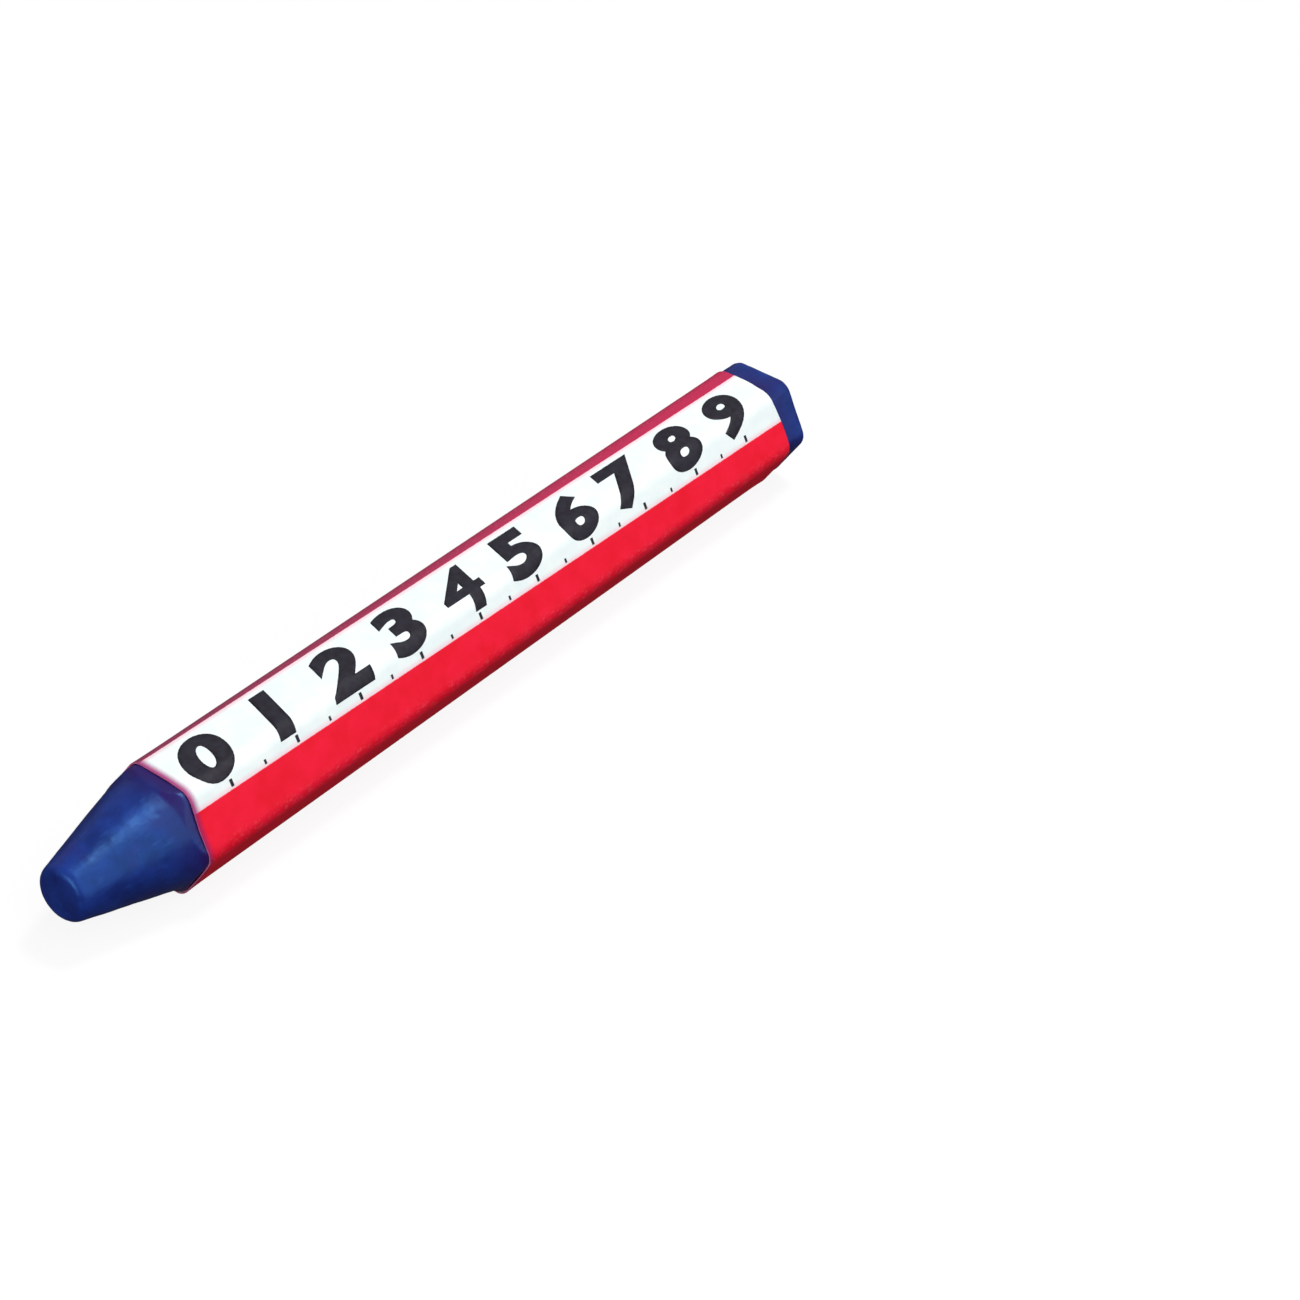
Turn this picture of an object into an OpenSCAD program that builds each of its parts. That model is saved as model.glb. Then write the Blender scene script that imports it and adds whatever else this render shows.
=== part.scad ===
// Marking crayon: a hexagonal stick of wax with a turned point, in a glued paper wrapper.
// It lies on one flat of the wrapper. +X runs from the point to the butt, +Z is up, and the
// origin is under the middle of the crayon, on the surface it lies on.

/* [Wax stick] */
// Overall length, from the flat at the point to the butt
crayon_len = 120.6; // [70:0.1:180]
// Width of the hexagon across its flats
across_flats = 12.7; // [10:0.1:20]
// Radius of the hexagon's rounded edges
edge_r = 1.8; // [0.5:0.1:2.4]
// Diameter of the small flat at the point
tip_flat_d = 6.1; // [3:0.1:8]
// Length of the turned point, from its flat to its shoulder
point_len = 12.6; // [8:0.1:25]
// Height of the shoulder, from the turned point out to the hexagon's edges
shoulder_h = 0.8; // [0.2:0.05:1.5]
// Length of the shoulder along the crayon
shoulder_len = 1.2; // [0.2:0.05:2]
// Bevel round the small flat at the point
tip_bevel = 0.3; // [0.1:0.05:0.8]
// Bevel on the edges at the butt
butt_bevel = 0.5; // [0.1:0.05:0.8]

/* [Paper wrapper] */
// Bare wax from the flat at the point to the front edge of the paper
front_bare = 14; // [9:0.1:40]
// Bare wax from the rear edge of the paper to the butt
rear_bare = 4; // [1:0.1:20]
// Thickness of the paper
paper_t = 0.15; // [0.1:0.01:0.3]
// Width that the sheet laps over its own start
lap_w = 3.2; // [2:0.1:8]

/* [Paste] */
// Width of the stripe of paste under the lap
paste_w = 2.4; // [1:0.1:3.2]
// Thickness of the dried paste
paste_t = 0.06; // [0.04:0.01:0.15]
// Paper left dry at each end of the stripe
paste_end_gap = 1.5; // [0.5:0.1:5]

/* [Hidden] */

sides = 6;
turn = 360 / sides;
arc_steps = 5;

// The hexagon's outline is walked by arc length: each side has one flat and one rounded edge.
flat_w = (across_flats - 2 * edge_r) * tan(turn / 2);
arc_w = edge_r * PI * turn / 180;
side_w = flat_w + arc_w;
round_w = sides * side_w;
edge_centre_r = (across_flats / 2 - edge_r) / cos(turn / 2);
corner_r = edge_centre_r + edge_r;

wrapper_len = crayon_len - front_bare - rear_bare;
axis_height = across_flats / 2 + paper_t;
point_base_r = corner_r - shoulder_h;
point_slope = (point_base_r - tip_flat_d / 2) / point_len;

// The sheet starts and ends on the flat that faces down and back. Just before its second pass
// over its own start it rises clear of the wax, by the thickness of the paper and the paste.
seam_face_angle = -turn / 2;
lap_start = flat_w * 0.3;
lap_ramp = lap_start * 0.8;
lap_lift = paper_t + paste_t;
paste_start = lap_start + (lap_w - paste_w) / 2;

// Point on the outline at arc length s, moved out from the wax by d
function outline(s, d = 0) =
    let (
        k = floor(s / side_w + 1e-9),
        w = max(0, s - k * side_w),
        normal = seam_face_angle + k * turn,
        bend = (w - flat_w) / edge_r * 180 / PI
    )
    w <= flat_w
        ? across_point(across_flats / 2 + d, normal) + across_point(w - flat_w / 2, normal + 90)
        : across_point(edge_centre_r, normal + turn / 2) + across_point(edge_r + d, normal + bend);

function across_point(r, a) = [r * cos(a), r * sin(a)];

// Arc lengths of the steps round each rounded edge, for two turns. A flat has none between its ends.
edge_steps = [
    for (side = [0 : 2 * sides - 1])
        for (j = [0 : arc_steps])
            side * side_w + flat_w + j * arc_w / arc_steps
];

// Arc lengths to step through after s0, up to and including s1
function walk(s0, s1) = concat([for (s = edge_steps) if (s > s0 + 1e-6 && s < s1 - 1e-6) s], [s1]);

// How far the sheet lies above the wax at arc length s
function lift(s) = lap_lift * min(1, max(0, (s - round_w - lap_start + lap_ramp) / lap_ramp));

sheet_walk = concat(
    [lap_start],
    walk(lap_start, round_w + lap_start - lap_ramp),
    walk(round_w + lap_start - lap_ramp, round_w + lap_start),
    walk(round_w + lap_start, round_w + lap_start + lap_w)
);

// Stands a shape that is drawn upright along the crayon, its start at distance x from the point
module along_crayon(x) {
    translate([x - crayon_len / 2, 0, axis_height])
        rotate(a = 120, v = [1, 1, 1])
            children();
}

// Section of a layer of thickness t that follows the arc lengths in path, each point at its own height
module layer(path, heights, t) {
    steps = [0 : len(path) - 1];
    inner = [for (i = steps) outline(path[i], heights[i])];
    outer = [for (i = steps) outline(path[i], heights[i] + t)];
    polygon(concat(inner, [for (i = steps) outer[len(path) - 1 - i]]));
}

// The round shape that turning would leave: the point with its shoulder, and bevels at both ends
module turned_form() {
    outside = corner_r + 1;
    rotate_extrude($fn = 96)
        polygon([
            [0, 0],
            [tip_flat_d / 2 - tip_bevel, 0],
            [tip_flat_d / 2 + tip_bevel * point_slope, tip_bevel],
            [point_base_r, point_len],
            [outside, point_len + shoulder_len * (outside - point_base_r) / shoulder_h],
            [outside, crayon_len - butt_bevel - (outside - corner_r)],
            [corner_r - butt_bevel, crayon_len],
            [0, crayon_len]
        ]);
}

module wax_stick() {
    color([0.09, 0.17, 0.5])
        along_crayon(0)
            intersection() {
                linear_extrude(crayon_len)
                    polygon([for (s = walk(0, round_w)) outline(s)]);
                turned_form();
            }
}

module paper_wrapper() {
    color([0.9, 0.1, 0.18])
        along_crayon(front_bare)
            linear_extrude(wrapper_len)
                layer(sheet_walk, [for (s = sheet_walk) lift(s)], paper_t);
}

module seam_paste() {
    paste_walk = concat([paste_start], walk(paste_start, paste_start + paste_w));
    color([0.93, 0.89, 0.78])
        along_crayon(front_bare + paste_end_gap)
            linear_extrude(wrapper_len - 2 * paste_end_gap)
                layer(paste_walk, [for (s = paste_walk) paper_t], paste_t);
}

wax_stick();
paper_wrapper();
seam_paste();
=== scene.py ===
"""A hexagonal wax marking crayon in a printed paper wrapper, lying on a pale floor.

The wax stick is a bevelled six-sided bar, turned to a point, worn a little and smoothed. The wrapper is
one sheet of paper, cut flat, printed flat and then wound round the bar, so its print, its lap and the
paste under the lap all use the same winding. Lengths are in metres.
"""

import math
import random

import bpy
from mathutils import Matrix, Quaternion, Vector, noise


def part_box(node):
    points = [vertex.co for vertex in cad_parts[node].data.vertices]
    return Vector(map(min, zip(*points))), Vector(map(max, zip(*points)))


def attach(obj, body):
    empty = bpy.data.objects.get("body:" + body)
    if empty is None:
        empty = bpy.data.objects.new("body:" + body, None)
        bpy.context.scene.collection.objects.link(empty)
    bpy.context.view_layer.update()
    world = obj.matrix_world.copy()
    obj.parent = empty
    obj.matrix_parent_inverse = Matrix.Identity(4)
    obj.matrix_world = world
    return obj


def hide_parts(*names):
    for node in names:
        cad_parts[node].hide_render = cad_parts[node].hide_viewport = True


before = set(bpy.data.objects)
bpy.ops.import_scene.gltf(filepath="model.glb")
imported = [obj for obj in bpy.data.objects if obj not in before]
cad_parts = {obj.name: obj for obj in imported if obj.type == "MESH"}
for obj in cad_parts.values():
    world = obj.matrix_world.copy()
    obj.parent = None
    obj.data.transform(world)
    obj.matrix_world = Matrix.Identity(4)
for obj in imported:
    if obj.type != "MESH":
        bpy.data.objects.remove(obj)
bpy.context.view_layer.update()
MM = 0.001

# ---------------------------------------------------------------- sizes, from the frame

WAX_LOW, WAX_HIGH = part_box("wax_stick")
PAPER_LOW, PAPER_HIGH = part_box("paper_wrapper")
PASTE_LOW, PASTE_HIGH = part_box("seam_paste")

LENGTH = WAX_HIGH.x - WAX_LOW.x
MIDDLE_X = (WAX_HIGH.x + WAX_LOW.x) / 2
AXIS_Z = (WAX_HIGH.z + WAX_LOW.z) / 2
ACROSS_FLATS = WAX_HIGH.z - WAX_LOW.z
PAPER_LEN = PAPER_HIGH.x - PAPER_LOW.x
PAPER_MIDDLE_X = (PAPER_HIGH.x + PAPER_LOW.x) / 2
PAPER_T = WAX_LOW.z - PAPER_LOW.z

EDGE_R = 1.8 * MM
TIP_R = 3.05 * MM
TIP_BEVEL = 0.7 * MM
POINT_LEN = 12.6 * MM
SHOULDER_H = 0.8 * MM
SHOULDER_LEN = 1.2 * MM
BUTT_BEVEL = 0.5 * MM
PASTE_T = 0.06 * MM
PASTE_INSET = 0.3 * MM
PASTE_SQUEEZE = 0.28 * MM
LAP_W = 3.2 * MM
PAPER_BULGE = 0.05 * MM
PAPER_CURL = 0.14 * MM
WAX_VOXEL = 0.17 * MM
KNOCK_SEED = 5
TIP_KNOCKS = 7
BUTT_KNOCKS = 6

SIDES = 6
TURN = math.tau / SIDES
FLAT_W = (ACROSS_FLATS - 2 * EDGE_R) * math.tan(TURN / 2)
SIDE_W = FLAT_W + EDGE_R * TURN
ROUND_W = SIDES * SIDE_W
EDGE_CENTRE_R = (ACROSS_FLATS / 2 - EDGE_R) / math.cos(TURN / 2)
CORNER_R = EDGE_CENTRE_R + EDGE_R
POINT_BASE_R = CORNER_R - SHOULDER_H
POINT_SLOPE = (POINT_BASE_R - TIP_R) / POINT_LEN

SEAM_FACE_ANGLE = -TURN / 2
LAP_START = 0.3 * FLAT_W
LAP_RAMP = 0.8 * LAP_START
LAP_END = ROUND_W + LAP_START + LAP_W
LAP_LIFT = PAPER_T + PASTE_T
# The ridge beside the numerals, on the far side of the panel
FAR_RIDGE = 2 * SIDE_W - EDGE_R * TURN / 2
# The next ridge round, which the panel laps over
NEAR_RIDGE = 3 * SIDE_W - EDGE_R * TURN / 2

# ---------------------------------------------------------------- sizes of the print, on the flat sheet

PANEL_W = 8.7 * MM
PANEL_MIDDLE = 2 * SIDE_W + 3.9 * MM
# How far the panel wanders across the sheet, from the front edge to the rear
PANEL_DRIFT = 1.4 * MM
# Width of the pink halo inside the panel's long edges
PANEL_HALO = 0.7 * MM
# Where the front border has faded out, on the red and on the panel
RED_FRONT = 0.9 * MM
PANEL_FRONT = 1.1 * MM
PRINT_BLUR = 0.05 * MM
NUMERAL_H = 6.5 * MM
NUMERAL_STRETCH = 1.42
NUMERAL_SLANT = 0.22
NUMERAL_BASE = 1.3 * MM
NUMERAL_COUNT = 10
NUMERAL_STEP = 10 * MM
FIRST_NUMERAL = 5.8 * MM
# How much the pen thickens a stroke of the font, and the stroke's depth, both in the font's own units
PEN_SWELL = 0.05
PEN_DEPTH = 0.01
TICK_BASE = 0.25 * MM
# Width and height of a tick, at whole and at half centimetres
LONG_TICK = (0.4 * MM, 0.8 * MM)
SHORT_TICK = (0.3 * MM, 0.5 * MM)
INK_T = 0.03 * MM
INK_ROWS = 48
INK_COLUMN_W = 1 * MM

# ---------------------------------------------------------------- small tools

def use_only(piece):
    bpy.ops.object.select_all(action="DESELECT")
    piece.select_set(True)
    bpy.context.view_layer.objects.active = piece


def named(name):
    """Names the object that was just added, with its place moved into its mesh."""
    piece = bpy.context.object
    piece.name = name
    piece.data.name = name
    bpy.ops.object.transform_apply(location=True, rotation=True, scale=True)
    return piece


def modify(piece, kind, **settings):
    """Adds one modifier, sets it and applies it."""
    use_only(piece)
    modifier = piece.modifiers.new(kind, kind)
    for key, value in settings.items():
        setattr(modifier, key, value)
    bpy.ops.object.modifier_apply(modifier=modifier.name)


def join(pieces, name):
    bpy.ops.object.select_all(action="DESELECT")
    for piece in pieces:
        piece.select_set(True)
    bpy.context.view_layer.objects.active = pieces[0]
    bpy.ops.object.join()
    return named(name)


def select_edges(piece, wanted):
    """Selects the edges for which wanted(start, end) is true, and leaves the piece in edit mode."""
    use_only(piece)
    bpy.ops.object.mode_set(mode="EDIT")
    bpy.ops.mesh.select_mode(type="EDGE")
    bpy.ops.mesh.select_all(action="DESELECT")
    bpy.ops.object.mode_set(mode="OBJECT")
    points = piece.data.vertices
    for edge in piece.data.edges:
        start, end = (points[i].co for i in edge.vertices)
        edge.select = wanted(start, end)
    bpy.ops.object.mode_set(mode="EDIT")


def select_all_in_edit(piece):
    use_only(piece)
    bpy.ops.object.mode_set(mode="EDIT")
    bpy.ops.mesh.select_all(action="SELECT")


def object_mode():
    bpy.ops.object.mode_set(mode="OBJECT")


def group_by(piece, name, weight):
    """A vertex group whose weight at each point comes from weight(point)."""
    group = piece.vertex_groups.new(name=name)
    for vertex in piece.data.vertices:
        group.add([vertex.index], weight(vertex.co), "REPLACE")


def ease(value, low, high):
    """0 below low, 1 above high, and smooth between."""
    t = min(1.0, max(0.0, (value - low) / (high - low)))
    return t * t * (3 - 2 * t)


def shade_smooth(piece, angle=math.radians(40)):
    use_only(piece)
    bpy.ops.object.shade_smooth_by_angle(angle=angle)


# ---------------------------------------------------------------- winding

# Here and in the pieces, s is the length walked round the wax's section, from the seam face onwards.

def across(radius, angle):
    return Vector((0, radius * math.cos(angle), radius * math.sin(angle)))


def section_point(s, height):
    """Where arc length s round the bare wax comes in the crayon's section, raised by height."""
    side, along = divmod(s, SIDE_W)
    normal = SEAM_FACE_ANGLE + side * TURN
    if along <= FLAT_W:
        return across(ACROSS_FLATS / 2 + height, normal) + across(along - FLAT_W / 2, normal + math.pi / 2)
    bend = (along - FLAT_W) / EDGE_R
    return across(EDGE_CENTRE_R, normal + TURN / 2) + across(EDGE_R + height, normal + bend)


def lift(s):
    """How far the sheet lies above the wax because it passes over its own start."""
    return LAP_LIFT * min(1.0, max(0.0, (s - ROUND_W - LAP_START + LAP_RAMP) / LAP_RAMP))


def slack(x, s):
    """How far the paper stands off the wax: a little on the flats, and in curls at its two ends."""
    along = s % SIDE_W
    on_flat = max(0.0, math.sin(math.pi * along / FLAT_W)) if along < FLAT_W else 0.0
    wave = 0.5 + 0.5 * noise.noise(Vector((x / (17 * MM), s / (5 * MM), 3.1)))
    bulge = PAPER_BULGE * on_flat * wave
    from_end = min(x - PAPER_LOW.x, PAPER_HIGH.x - x)
    curl = 0.5 + 0.5 * noise.noise(Vector((math.copysign(4, x), s / (3.2 * MM), 7.7)))
    return bulge + PAPER_CURL * curl * math.exp(-max(0.0, from_end) / (1.3 * MM))


def wind(piece):
    """Winds a flat piece round the wax. Its x is along the crayon, its y the arc length, its z the height."""
    for vertex in piece.data.vertices:
        x, s, height = vertex.co
        place = section_point(s, lift(s) + slack(x, s) + height)
        vertex.co = (x, place.y, max(PAPER_T, AXIS_Z + place.z))


# ---------------------------------------------------------------- materials

class Surface:
    """One node material, with short ways to add and join its nodes."""

    def __init__(self, name):
        self.material = bpy.data.materials.new(name)
        self.material.use_nodes = True
        self.nodes = self.material.node_tree.nodes
        self.links = self.material.node_tree.links
        self.shader = self.nodes["Principled BSDF"]

    def join(self, source, socket):
        if isinstance(source, bpy.types.NodeSocket):
            self.links.new(source, socket)
        else:
            socket.default_value = source

    def node(self, kind, inputs=None, output=0, **settings):
        made = self.nodes.new(kind)
        for key, value in settings.items():
            setattr(made, key, value)
        for key, value in (inputs or {}).items():
            self.join(value, made.inputs[key])
        return made.outputs[output]

    def math(self, operation, a, b=0.0, c=0.0):
        return self.node("ShaderNodeMath", {0: a, 1: b, 2: c}, operation=operation)

    def split(self, vector):
        parts = self.nodes.new("ShaderNodeSeparateXYZ")
        self.links.new(vector, parts.inputs[0])
        return parts.outputs

    def place(self, stretch=(1, 1, 1)):
        """Object coordinates in millimetres, stretched along each axis."""
        coordinates = self.node("ShaderNodeTexCoord", output="Object")
        scale = tuple(1000 * part for part in stretch)
        return self.node("ShaderNodeMapping", {"Vector": coordinates, "Scale": scale})

    def noise(self, vector, scale, detail=3.0, roughness=0.55):
        inputs = {"Vector": vector, "Scale": scale, "Detail": detail, "Roughness": roughness}
        return self.node("ShaderNodeTexNoise", inputs, "Fac")

    def between(self, value, low, high, to_low=0.0, to_high=1.0):
        """Goes smoothly from to_low, where value is low or less, to to_high, where it is high or more."""
        inputs = {"Value": value, "From Min": low, "From Max": high, "To Min": to_low, "To Max": to_high}
        return self.node("ShaderNodeMapRange", inputs, interpolation_type="SMOOTHSTEP")

    def mix(self, share, a, b):
        made = self.nodes.new("ShaderNodeMix")
        made.data_type = "RGBA"
        self.join(share, made.inputs[0])
        self.join(a, made.inputs[6])
        self.join(b, made.inputs[7])
        return made.outputs[2]

    def bump(self, height, strength, distance, normal=None):
        inputs = {"Height": height, "Strength": strength, "Distance": distance}
        if normal is not None:
            inputs["Normal"] = normal
        return self.node("ShaderNodeBump", inputs, "Normal")

    def set(self, **inputs):
        for key, value in inputs.items():
            self.join(value, self.shader.inputs[key.replace("_", " ")])


def rgb(red, green, blue):
    """A colour given as it looks on a screen, 0 to 255, as the linear colour that nodes hold."""
    linear = [part / 255 / 12.92 if part <= 10 else ((part / 255 + 0.055) / 1.055) ** 2.4
              for part in (red, green, blue)]
    return (*linear, 1.0)


def wax_surface():
    wax = Surface("blue_wax")
    place = wax.place()
    along = wax.place((0.1, 1.6, 1.6))
    mottle = wax.noise(place, 0.35, 5.0)
    streaks = wax.noise(along, 1.1, 4.0)
    blotch = wax.noise(place, 0.22, 3.0)
    colour = wax.mix(wax.between(mottle, 0.3, 0.7), rgb(22, 36, 107), rgb(29, 51, 135))
    colour = wax.mix(wax.between(blotch, 0.5, 0.7, 0, 0.6), colour, rgb(42, 34, 112))
    colour = wax.mix(wax.between(streaks, 0.56, 0.8, 0, 0.35), colour, rgb(46, 82, 164))
    # Painted shade on the wax next to the paper's edges, standing for the shadow of the gap under the paper:
    # darker and purple, uneven, and a little less at the butt.
    paper_shade_middle = PAPER_MIDDLE_X / MM - 0.25
    paper_shade_half = PAPER_LEN / MM / 2 - 2.25
    from_middle = wax.math("ABSOLUTE", wax.math("SUBTRACT", wax.split(place)[0], paper_shade_middle))
    from_paper = wax.math("SUBTRACT", from_middle, wax.math("MULTIPLY_ADD", blotch, 5.0, paper_shade_half))
    colour = wax.mix(wax.between(from_paper, 0.0, 3.8, 0.85, 0.0), colour, rgb(38, 28, 100))
    colour = wax.mix(wax.between(from_paper, 0.0, 0.8, 0.75, 0.0), colour, rgb(48, 16, 92))
    grain = wax.noise(place, 7.0, 3.0)
    normal = wax.bump(streaks, 0.25, 0.1 * MM)
    normal = wax.bump(grain, 0.2, 0.03 * MM, normal)
    roughness = wax.between(mottle, 0.3, 0.7, 0.32, 0.38)
    wax.set(Base_Color=colour, Roughness=roughness, Normal=normal, Subsurface_Weight=0.1,
            Subsurface_Radius=(0.2, 0.4, 1.0), Subsurface_Scale=0.6 * MM)
    wax.shader.inputs["Specular IOR Level"].default_value = 0.75
    wax.shader.inputs["Specular Tint"].default_value = (0.15, 0.5, 1.0, 1.0)
    return wax.material


def sheet_place(surface):
    """Distance from the paper's front edge and arc length, both in millimetres, from the sheet's own map."""
    along, round_it, _ = surface.split(surface.node("ShaderNodeUVMap", uv_map="sheet"))
    from_front = surface.math("MULTIPLY", along, PAPER_LEN / MM)
    arc = surface.math("MULTIPLY_ADD", round_it, (LAP_END - LAP_START) / MM, LAP_START / MM)
    return from_front, arc


def print_surface():
    """Red, with the pale panel, a magenta front border and painted shade in a band along the far ridge."""
    paper = Surface("printed_paper")
    from_front, arc = sheet_place(paper)
    place = paper.place()
    blur = PRINT_BLUR / MM
    bleed = paper.math("MULTIPLY", paper.math("SUBTRACT", paper.noise(place, 5.0, 2.0), 0.5), 0.12)
    drift = paper.math("MULTIPLY", from_front, PANEL_DRIFT / PAPER_LEN)
    offset = paper.math("SUBTRACT", paper.math("SUBTRACT", arc, drift), PANEL_MIDDLE / MM)
    offset = paper.math("ADD", paper.math("ABSOLUTE", offset), bleed)
    half = PANEL_W / MM / 2
    on_panel = paper.between(offset, half - blur, half + blur, 1, 0)
    ragged = paper.math("ADD", from_front, bleed)
    cloud = paper.noise(place, 0.4, 4.0)
    fibre = paper.noise(place, 3.0, 5.0, 0.7)

    red = paper.mix(paper.between(cloud, 0.3, 0.7), rgb(238, 14, 44), rgb(246, 22, 56))
    red = paper.mix(paper.between(ragged, blur, RED_FRONT / MM, 0.85, 0), red, rgb(158, 30, 92))
    white = paper.mix(paper.between(cloud, 0.3, 0.7), rgb(236, 247, 248), rgb(244, 252, 251))
    white = paper.mix(paper.between(offset, half - PANEL_HALO / MM, half, 0, 0.5), white, rgb(250, 176, 196))
    behind_border = paper.between(ragged, blur, PANEL_FRONT / MM)
    panel = paper.mix(behind_border, rgb(172, 70, 132), white)
    colour = paper.mix(on_panel, red, panel)

    # Painted shade of the far face, which turns away from the light: a band that starts on the back face,
    # just before the ridge, and ends under the panel.
    ridge_at = FAR_RIDGE / MM
    far_shade_start = paper.between(arc, ridge_at - 2.4, ridge_at - 1.2)
    far_shade_end = paper.between(arc, ridge_at + 1.5, ridge_at + 6)
    far_shade_share = paper.math("MULTIPLY", paper.math("SUBTRACT", far_shade_start, far_shade_end), 0.9)
    # The painted shade is darkest and most mauve at the front edge, lighter and redder towards the rear.
    far_shade_colour = paper.mix(paper.between(from_front, 0, PAPER_LEN / MM), rgb(130, 60, 92), rgb(184, 45, 87))
    off_panel = paper.math("SUBTRACT", 1.0, on_panel)
    colour = paper.mix(paper.math("MULTIPLY", far_shade_share, off_panel), colour, far_shade_colour)

    ridge = paper.node("ShaderNodeAttribute", output="Fac", attribute_name="ridge")
    rubbed = paper.math("MULTIPLY", ridge, paper.between(fibre, 0.5, 0.7))
    colour = paper.mix(paper.math("MULTIPLY", rubbed, 0.15), colour, rgb(240, 170, 178))

    normal = paper.bump(fibre, 0.12, 0.03 * MM)
    normal = paper.bump(cloud, 0.25, 0.3 * MM, normal)
    paper.set(Base_Color=colour, Roughness=paper.between(fibre, 0.3, 0.7, 0.46, 0.58), Normal=normal)
    paper.shader.inputs["Specular IOR Level"].default_value = 0.15
    return paper.material


def bare_paper(name, colour):
    paper = Surface(name)
    place = paper.place()
    fibre = paper.noise(place, 6.0, 5.0, 0.7)
    shade = paper.mix(paper.between(fibre, 0.3, 0.7, 0, 0.25), colour, rgb(204, 168, 172))
    paper.set(Base_Color=shade, Roughness=0.85, Normal=paper.bump(fibre, 0.3, 0.04 * MM))
    return paper.material


def ink_surface():
    ink = Surface("black_ink")
    place = ink.place()
    patch = ink.noise(place, 1.2, 4.0)
    fibre = ink.noise(place, 8.0, 3.0)
    colour = ink.mix(ink.between(patch, 0.3, 0.7), rgb(22, 14, 30), rgb(34, 32, 44))
    ink.set(Base_Color=colour, Roughness=0.6, Normal=ink.bump(fibre, 0.1, 0.02 * MM))
    ink.shader.inputs["Specular IOR Level"].default_value = 0.35
    return ink.material


def paste_surface():
    paste = Surface("dried_paste")
    place = paste.place()
    lumps = paste.noise(place, 2.5, 4.0)
    colour = paste.mix(paste.between(lumps, 0.3, 0.7), rgb(214, 200, 160), rgb(236, 228, 200))
    paste.set(Base_Color=colour, Roughness=0.6, Normal=paste.bump(lumps, 0.5, 0.05 * MM))
    return paste.material


def floor_surface():
    """Near white, and mostly its own light, so that shadows on it stay faint."""
    floor = Surface("pale_floor")
    tone = floor.noise(floor.place(), 0.02, 2.0)
    colour = floor.mix(floor.between(tone, 0.3, 0.7), (0.12, 0.12, 0.12, 1), (0.13, 0.13, 0.13, 1))
    floor.set(Base_Color=colour, Roughness=0.9, Emission_Strength=0.88)
    floor.shader.inputs["Emission Color"].default_value = (1, 1, 1, 1)
    floor.shader.inputs["Specular IOR Level"].default_value = 0.0
    return floor.material


# ---------------------------------------------------------------- wax stick

def hexagonal_bar():
    """The bare bar: six flats, the lowest and highest level, with rounded edges between them."""
    bpy.ops.object.select_all(action="DESELECT")
    bpy.ops.mesh.primitive_cylinder_add(
        vertices=SIDES, radius=ACROSS_FLATS / 2 / math.cos(TURN / 2), depth=LENGTH,
        location=(MIDDLE_X, 0, AXIS_Z), rotation=(0, math.pi / 2, 0))
    bar = named("wax_body")
    select_edges(bar, lambda start, end: abs(start.x - end.x) > LENGTH / 2)
    bpy.ops.mesh.bevel(offset=EDGE_R * math.tan(TURN / 2), segments=8, profile=0.5)
    object_mode()
    return bar


def cut_away(piece, tool, operation="DIFFERENCE"):
    modify(piece, "BOOLEAN", operation=operation, object=tool, solver="EXACT")
    bpy.data.objects.remove(tool)


def turned_form():
    """The round shape that turning leaves: the cone of the point, its shoulder, then clear of the bar."""
    spare = 2 * MM
    outside = CORNER_R + spare
    shoulder_end = POINT_LEN + SHOULDER_LEN * (outside - POINT_BASE_R) / SHOULDER_H
    stations = ((-spare, TIP_R - POINT_SLOPE * spare), (POINT_LEN, POINT_BASE_R), (shoulder_end, outside),
                (LENGTH + spare, outside))
    start, radius = stations[0]
    bpy.ops.object.select_all(action="DESELECT")
    bpy.ops.mesh.primitive_circle_add(
        vertices=160, radius=radius, fill_type="NGON", location=(WAX_LOW.x + start, 0, AXIS_Z),
        rotation=(0, math.pi / 2, 0))
    form = named("turned_form")
    select_all_in_edit(form)
    for station, wider in stations[1:]:
        bpy.ops.mesh.extrude_region_move(TRANSFORM_OT_translate={"value": (station - start, 0, 0)})
        bpy.ops.transform.resize(value=(1, wider / radius, wider / radius),
                                 center_override=(WAX_LOW.x + station, 0, AXIS_Z))
        start, radius = station, wider
    bpy.ops.mesh.select_all(action="SELECT")
    bpy.ops.mesh.normals_make_consistent(inside=False)
    object_mode()
    return form


def bevel_rim(bar, rim_x, width):
    select_edges(bar, lambda start, end: max(abs(start.x - rim_x), abs(end.x - rim_x)) < 0.01 * MM)
    bpy.ops.mesh.bevel(offset=width, segments=4, profile=0.5)
    object_mode()


def turn_point(bar):
    """Turns the front of the bar to its blunt point, and breaks the sharp rims at both ends."""
    cut_away(bar, turned_form(), "INTERSECT")
    bevel_rim(bar, WAX_LOW.x, TIP_BEVEL)
    bevel_rim(bar, WAX_HIGH.x, BUTT_BEVEL)


def dent(bar, spot, outwards, radius, depth):
    """Presses a ball of this radius into the bar at this spot, to this depth."""
    bpy.ops.object.select_all(action="DESELECT")
    centre = spot + outwards.normalized() * (radius - depth)
    bpy.ops.mesh.primitive_ico_sphere_add(subdivisions=4, radius=radius, location=centre)
    cut_away(bar, named("dent"))


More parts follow.
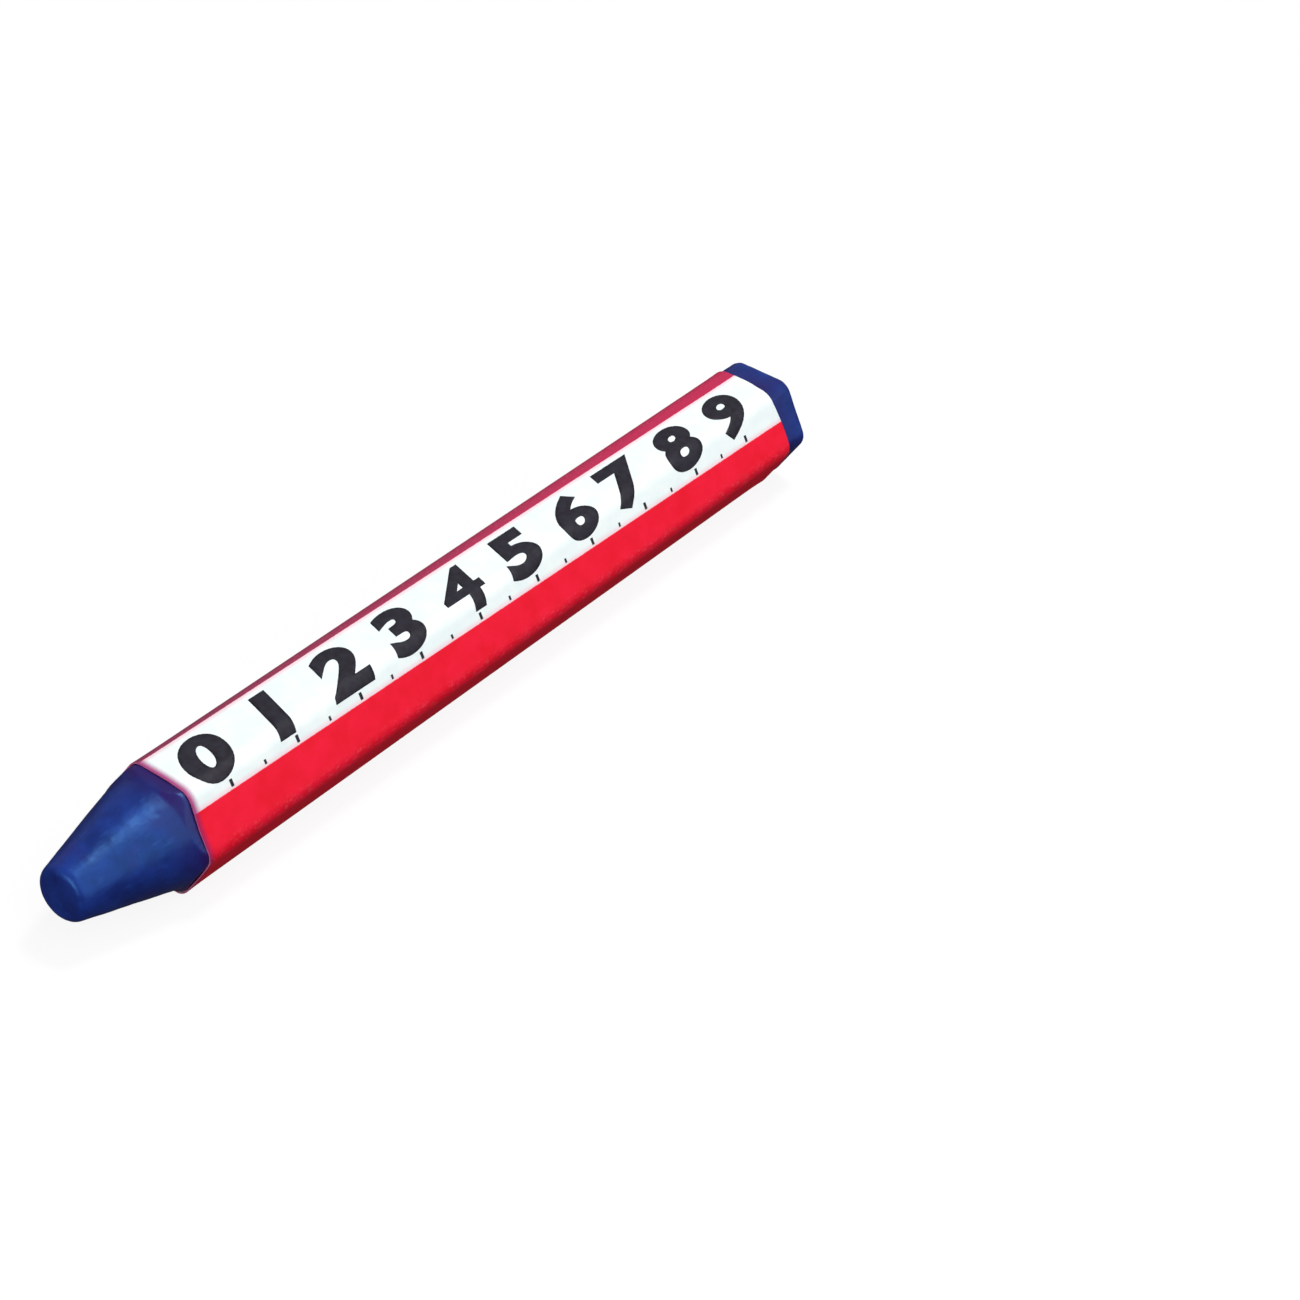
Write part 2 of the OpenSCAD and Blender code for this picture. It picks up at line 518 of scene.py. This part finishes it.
def knock_edges(bar):
    """Small dents where a used crayon is knocked: round the tip, round the butt and at the shoulder."""
    chance = random.Random(KNOCK_SEED)
    front = Vector((-1, 0, 0))
    tip = Vector((WAX_LOW.x, 0, AXIS_Z))
    butt = Vector((WAX_HIGH.x, 0, AXIS_Z))
    shoulder = Vector((WAX_LOW.x + POINT_LEN, 0, AXIS_Z))
    for _ in range(TIP_KNOCKS):
        angle = chance.uniform(0, math.tau)
        dent(bar, tip + across(TIP_R, angle), across(1, angle) + front,
             chance.uniform(0.6, 1.2) * MM, chance.uniform(0.12, 0.26) * MM)
    for _ in range(BUTT_KNOCKS):
        angle = chance.uniform(0, math.tau)
        dent(bar, butt + across(ACROSS_FLATS / 2 + 0.2 * MM, angle), across(1, angle) - front,
             chance.uniform(0.7, 1.5) * MM, chance.uniform(0.1, 0.25) * MM)
    # One wide, shallow nick near the top of the point
    from_tip, angle = 11 * MM, math.radians(117)
    nick = Vector((WAX_LOW.x + from_tip, 0, AXIS_Z)) + across(TIP_R + POINT_SLOPE * from_tip, angle)
    dent(bar, nick, across(1, angle) + 0.25 * front, 1.8 * MM, 0.04 * MM)
    for side in range(SIDES):
        angle = side * TURN + chance.uniform(-0.2, 0.2)
        dent(bar, shoulder + across(CORNER_R, side * TURN), across(1, angle) + 0.2 * front,
             chance.uniform(1.0, 2.2) * MM, chance.uniform(0.05, 0.14) * MM)


def soften_wax(bar):
    """Evens the mesh out, rounds every cut edge, and leaves the wax very slightly uneven where it is bare."""
    use_only(bar)
    bpy.ops.object.duplicate()
    cut_shape = named("cut_shape")
    modify(bar, "REMESH", mode="VOXEL", voxel_size=WAX_VOXEL)
    modify(bar, "SMOOTH", factor=0.5, iterations=4)
    modify(bar, "SHRINKWRAP", target=cut_shape, wrap_method="NEAREST_SURFACEPOINT")
    modify(bar, "SMOOTH", factor=0.5, iterations=5)
    bpy.data.objects.remove(cut_shape)
    front, rear = PAPER_LOW.x, PAPER_HIGH.x
    fade = 0.6 * MM

    def bare(point):
        return max(1 - ease(point.x, front, front + fade), ease(point.x, rear - fade, rear))

    def covered(point):
        behind_front = ease(point.x, front + fade, front + 4 * fade)
        return behind_front * (1 - ease(point.x, rear - 4 * fade, rear - fade))

    group_by(bar, "bare", bare)
    for name, size, depth in (("handled", 5.0, 0.1), ("pitted", 1.2, 0.04)):
        texture = bpy.data.textures.new(name, "CLOUDS")
        texture.noise_scale = size * MM
        modify(bar, "DISPLACE", texture=texture, strength=depth * MM, mid_level=0.62, vertex_group="bare")
    group_by(bar, "covered", covered)
    modify(bar, "DECIMATE", ratio=0.25, vertex_group="covered", vertex_group_factor=1.0)
    bar.vertex_groups.clear()


def make_wax_body():
    bar = hexagonal_bar()
    turn_point(bar)
    knock_edges(bar)
    soften_wax(bar)
    bar.data.materials.clear()
    bar.data.materials.append(wax_surface())
    shade_smooth(bar, math.radians(60))
    return bar


# ---------------------------------------------------------------- paper wrapper

def ridge_weight(s):
    """1 in the middle of a rounded edge of the hexagon, falling to 0 on the flats."""
    along = s % SIDE_W
    from_middle = min(abs(along - FLAT_W - EDGE_R * TURN / 2), along + EDGE_R * TURN / 2)
    return 1 - ease(from_middle, 0.2 * EDGE_R * TURN, 0.8 * EDGE_R * TURN)


def front_cut(s):
    """The front edge was cut a little out of square, and not quite straight."""
    askew = max(-0.2, 0.6 * math.cos(math.tau * (s - 12.5 * MM) / ROUND_W) - 0.1)
    return (askew + 0.1 * noise.noise(Vector((9, s / (6 * MM), 1.3)))) * MM


def rear_cut(s):
    """The rear edge is drawn in a little over the near ridge."""
    drawn_in = 0.5 * math.exp(-((s - NEAR_RIDGE) / (2.5 * MM)) ** 2)
    return (0.25 - drawn_in + 0.1 * noise.noise(Vector((4, s / (5 * MM), 1.3)))) * MM


def cut_sheet():
    """The sheet, flat: a fine grid with its front and rear edges cut slightly out of true."""
    width = LAP_END - LAP_START
    bpy.ops.object.select_all(action="DESELECT")
    bpy.ops.mesh.primitive_grid_add(x_subdivisions=230, y_subdivisions=160, size=1, calc_uvs=True)
    sheet = bpy.context.object
    sheet.scale = (PAPER_LEN, width, 1)
    sheet.location = (PAPER_MIDDLE_X, (LAP_START + LAP_END) / 2, 0)
    sheet = named("wrapper_sheet")
    sheet.data.uv_layers[0].name = "sheet"
    for vertex in sheet.data.vertices:
        x, s, _ = vertex.co
        if x < 0:
            vertex.co.x += front_cut(s) * (1 - ease(x - PAPER_LOW.x, 0, 8 * MM))
        else:
            vertex.co.x += rear_cut(s) * (1 - ease(PAPER_HIGH.x - x, 0, 4 * MM))
    ridge = sheet.data.attributes.new("ridge", "FLOAT", "POINT")
    ridge.data.foreach_set("value", [ridge_weight(vertex.co.y) for vertex in sheet.data.vertices])
    return sheet


def make_wrapper():
    sheet = cut_sheet()
    wind(sheet)
    select_all_in_edit(sheet)
    bpy.ops.mesh.flip_normals()
    object_mode()
    sheet.data.materials.append(print_surface())
    sheet.data.materials.append(bare_paper("paper_back", rgb(236, 230, 222)))
    sheet.data.materials.append(bare_paper("paper_core", rgb(190, 78, 134)))
    modify(sheet, "SOLIDIFY", thickness=PAPER_T, offset=1.0, use_even_offset=True, material_offset=1,
           material_offset_rim=2)
    shade_smooth(sheet)
    return sheet


def make_paste():
    """Dried paste under the lap, with a little squeezed out past the lap's free edge."""
    start, end = LAP_START + PASTE_INSET, LAP_START + LAP_W
    bpy.ops.object.select_all(action="DESELECT")
    bpy.ops.mesh.primitive_grid_add(x_subdivisions=220, y_subdivisions=10, size=1)
    strip = bpy.context.object
    strip.scale = (PASTE_HIGH.x - PASTE_LOW.x, end - start, 1)
    strip.location = ((PASTE_LOW.x + PASTE_HIGH.x) / 2, (start + end) / 2, 0)
    strip = named("dried_paste_line")
    for vertex in strip.data.vertices:
        x, s, _ = vertex.co
        share = (s - start) / (end - start)
        squeeze = 0.5 + 0.5 * noise.noise(Vector((x / (2.4 * MM), 5.0, 2.0)))
        vertex.co.y = s + PASTE_SQUEEZE * squeeze * ease(share, 0.6, 1.0)
        vertex.co.z = PAPER_T
    wind(strip)
    select_all_in_edit(strip)
    bpy.ops.mesh.flip_normals()
    object_mode()
    modify(strip, "SOLIDIFY", thickness=PASTE_T * 0.95, offset=1.0)
    strip.data.materials.append(paste_surface())
    shade_smooth(strip)
    return strip


# ---------------------------------------------------------------- printed scale

def panel_drift(x):
    return PANEL_DRIFT * (x - PAPER_LOW.x) / PAPER_LEN


def numeral(number, x, base):
    """One heavy, wide, slanted numeral of ink, flat, standing on y = base with its middle at x."""
    bpy.ops.object.select_all(action="DESELECT")
    bpy.ops.object.text_add()
    text = bpy.context.object
    text.data.body = str(number)
    text.data.align_x = "CENTER"
    text.data.shear = NUMERAL_SLANT
    text.data.extrude = PEN_DEPTH
    # The 4 is drawn finer, so that its middle stays open.
    text.data.bevel_depth = PEN_SWELL / 2 if number == 4 else PEN_SWELL
    text.data.bevel_resolution = 0
    text.data.resolution_u = 8
    bpy.ops.object.convert(target="MESH")
    mark = bpy.context.object
    low = min(vertex.co.y for vertex in mark.data.vertices)
    high = max(vertex.co.y for vertex in mark.data.vertices)
    left = min(vertex.co.x for vertex in mark.data.vertices)
    right = max(vertex.co.x for vertex in mark.data.vertices)
    deep = max(vertex.co.z for vertex in mark.data.vertices)
    tall = NUMERAL_H / (high - low)
    wide = tall * NUMERAL_STRETCH
    mark.scale = (wide, tall, INK_T / 2 / deep)
    mark.location = (x - wide * (left + right) / 2, base - tall * low, 0)
    return named("numeral")


def tick(x, width, low, high):
    bpy.ops.object.select_all(action="DESELECT")
    bpy.ops.mesh.primitive_cube_add(size=1, location=(x, (low + high) / 2, 0))
    bpy.context.object.scale = (width, high - low, INK_T)
    return named("tick")


def cut_across(place, direction):
    """Cuts new edges through all of the piece in edit mode, where a plane crosses it."""
    bpy.ops.mesh.select_all(action="SELECT")
    bpy.ops.mesh.bisect(plane_co=place, plane_no=direction, threshold=0.006 * MM)


def make_scale_print():
    """Plain numerals over a centimetre rule, printed on the flat panel and wound with the paper."""
    base = -PANEL_W / 2
    first = PAPER_LOW.x + FIRST_NUMERAL
    marks = [numeral(number, first + number * NUMERAL_STEP, base + NUMERAL_BASE)
             for number in range(NUMERAL_COUNT)]
    low = base + TICK_BASE
    for half in range(2 * (NUMERAL_COUNT - 1) + 1):
        width, height = SHORT_TICK if half % 2 else LONG_TICK
        marks.append(tick(first + half * NUMERAL_STEP / 2, width, low, low + height))
    ink = join(marks, "printed_scale")
    select_all_in_edit(ink)
    bpy.ops.mesh.remove_doubles(threshold=0.0001 * MM)
    bpy.ops.mesh.beautify_fill()
    # Small faces, so that the ink can follow the paper
    for row in range(1, INK_ROWS):
        cut_across((0, base + row * PANEL_W / INK_ROWS, 0), (0, 1, 0))
    for column in range(1, int(PAPER_LEN / INK_COLUMN_W)):
        cut_across((PAPER_LOW.x + column * INK_COLUMN_W, 0, 0), (1, 0, 0))
    object_mode()
    for vertex in ink.data.vertices:
        x, y, height = vertex.co
        vertex.co = (x, PANEL_MIDDLE + panel_drift(x) - y, PAPER_T + 0.4 * INK_T + height)
    wind(ink)
    ink.data.materials.append(ink_surface())
    return ink


# ---------------------------------------------------------------- stage

VIEW_AZIMUTH = math.radians(-57.89)
VIEW_ELEVATION = math.radians(36.14)
VIEW_ROLL = math.radians(6.55)
VIEW_DISTANCE = 395 * MM
VIEW_CENTRE = Vector((19.95, -13.92, 0)) * MM
LENS = 97.2
SKY_STRENGTH = 0.26
FLOOR_GLOW = 0.05


def backwards(azimuth, elevation):
    """The direction from what is looked at to the eye."""
    return Vector((math.sin(azimuth) * math.cos(elevation), -math.cos(azimuth) * math.cos(elevation),
                   math.sin(elevation)))


def add_camera():
    back = backwards(VIEW_AZIMUTH, VIEW_ELEVATION)
    bpy.ops.object.camera_add(location=VIEW_CENTRE + back * VIEW_DISTANCE)
    camera = bpy.context.object
    camera.rotation_mode = "QUATERNION"
    camera.rotation_quaternion = (-back).to_track_quat("-Z", "Y") @ Quaternion((0, 0, 1), VIEW_ROLL)
    camera.data.lens = LENS
    camera.data.clip_start = 0.01
    bpy.context.scene.camera = camera


def add_softbox(name, azimuth, elevation, distance, size, power):
    """A square soft light that faces the crayon from this direction, in degrees."""
    back = backwards(math.radians(azimuth), math.radians(elevation))
    bpy.ops.object.light_add(type="AREA", location=back * distance)
    light = bpy.context.object
    light.name = name
    light.rotation_mode = "QUATERNION"
    light.rotation_quaternion = (-back).to_track_quat("-Z", "Y")
    light.data.shape = "SQUARE"
    light.data.size = size
    light.data.energy = power


def add_sky():
    """Even light from above the horizon, a little from the floor below it, and white behind everything."""
    sky = bpy.data.worlds.new("studio")
    bpy.context.scene.world = sky
    sky.use_nodes = True
    nodes, links = sky.node_tree.nodes, sky.node_tree.links
    direction = nodes.new("ShaderNodeTexCoord")
    parts = nodes.new("ShaderNodeSeparateXYZ")
    height = nodes.new("ShaderNodeMapRange")
    height.inputs["From Min"].default_value = -0.05
    height.inputs["From Max"].default_value = 0.15
    height.inputs["To Min"].default_value = FLOOR_GLOW
    height.inputs["To Max"].default_value = SKY_STRENGTH
    links.new(direction.outputs["Generated"], parts.inputs[0])
    links.new(parts.outputs["Z"], height.inputs["Value"])
    seen = nodes.new("ShaderNodeLightPath")
    strength = nodes.new("ShaderNodeMath")
    strength.operation = "MAXIMUM"
    links.new(height.outputs[0], strength.inputs[0])
    links.new(seen.outputs["Is Camera Ray"], strength.inputs[1])
    links.new(strength.outputs[0], nodes["Background"].inputs["Strength"])
    nodes["Background"].inputs["Color"].default_value = (1, 1, 1, 1)


def add_stage():
    bpy.ops.object.select_all(action="DESELECT")
    bpy.ops.mesh.primitive_plane_add(size=6)
    floor = named("floor")
    floor.data.materials.append(floor_surface())
    floor.visible_diffuse = False
    floor.visible_glossy = False
    add_sky()
    add_softbox("key", azimuth=10, elevation=40, distance=0.7, size=1.1, power=4.45)
    add_softbox("streak", azimuth=80, elevation=75, distance=0.6, size=0.12, power=1.6)
    add_softbox("tip_fill", azimuth=-90, elevation=15, distance=0.6, size=0.3, power=1.4)
    bpy.context.scene.view_settings.view_transform = "Standard"


# ---------------------------------------------------------------- the object

add_camera()
add_stage()

wax_body = make_wax_body()
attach(wax_body, "root")
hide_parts("wax_stick")

wrapper_sheet = make_wrapper()
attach(wrapper_sheet, "root")
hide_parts("paper_wrapper")

paste_line = make_paste()
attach(paste_line, "root")
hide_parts("seam_paste")

printed_scale = make_scale_print()
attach(printed_scale, "root")
